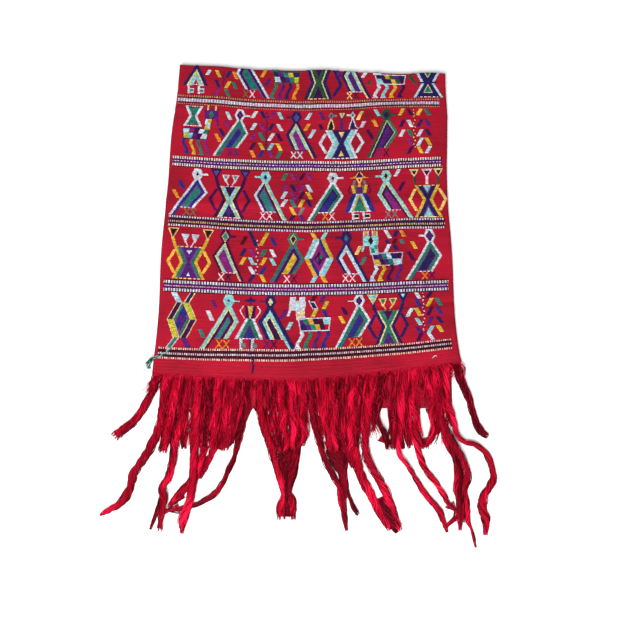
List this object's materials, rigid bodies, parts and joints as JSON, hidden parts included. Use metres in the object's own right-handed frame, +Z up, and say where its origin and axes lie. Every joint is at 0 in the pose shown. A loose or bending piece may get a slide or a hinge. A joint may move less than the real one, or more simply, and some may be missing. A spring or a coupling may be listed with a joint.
{
  "type": "folded handwoven throw with fringed ends",
  "caption": "Handwoven brocaded cotton throw folded in half and laid flat, with ribbed ends and long loose fringe locks at both hems.",
  "frame": {"origin": "on the floor, under the middle of the object's box", "axes": "+Z up, away from the floor; +Y from the fringes towards the fold; +X to the right seen from above with the fold at the top"},
  "size_m": [0.571, 0.7545, 0.0074],
  "materials": {
    "cotton": "matt red cotton, fine weft ribs, with brocaded figures in white, yellow, green, turquoise, purple and navy",
    "yarn": "glossy red mercerised cotton yarn in loose locks"
  },
  "bodies": {
    "root": {"cloth": "cotton", "fringe_upper": "yarn", "fringe_lower": "yarn"}
  },
  "joints": []
}
